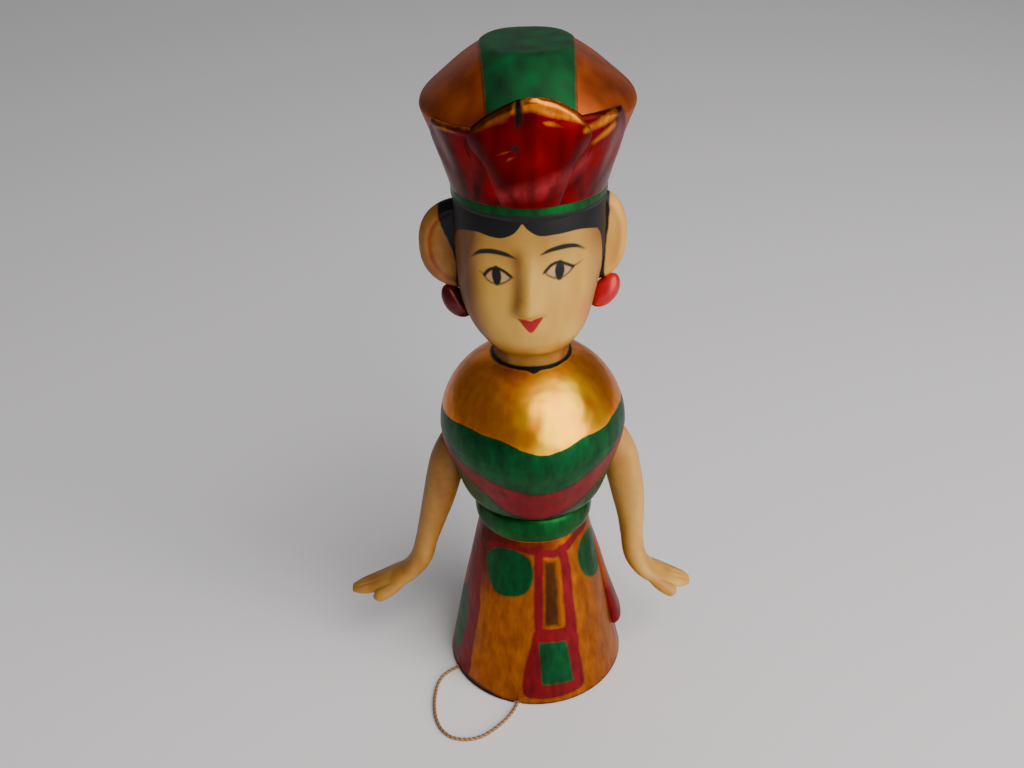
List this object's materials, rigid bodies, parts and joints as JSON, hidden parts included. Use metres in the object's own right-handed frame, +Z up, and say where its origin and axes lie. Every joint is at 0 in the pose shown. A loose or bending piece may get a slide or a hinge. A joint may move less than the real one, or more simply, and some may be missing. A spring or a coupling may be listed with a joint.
{
  "type": "wooden girl figurine",
  "caption": "Small painted wooden girl with a tall petalled hat, domed gold bust, flared skirt, two hanging arms and a loop of thin pull cord, standing on her flat skirt.",
  "frame": {"origin": "middle of the flat underside of the skirt, on the surface that the figure stands on", "axes": "+Z up through the hat, -Y the way the face looks, +X towards the figure's left arm"},
  "size_m": [0.0929, 0.0597, 0.17],
  "materials": {
    "painted_wood": "gold, red and green lacquer over carved wood, glossy",
    "skin_paint": "cream paint over carved wood, satin",
    "string": "thin twisted beige string"
  },
  "bodies": {
    "root": {"figure": "painted_wood", "right_arm": "skin_paint", "left_arm": "skin_paint", "pull_cord": "string"}
  },
  "joints": []
}
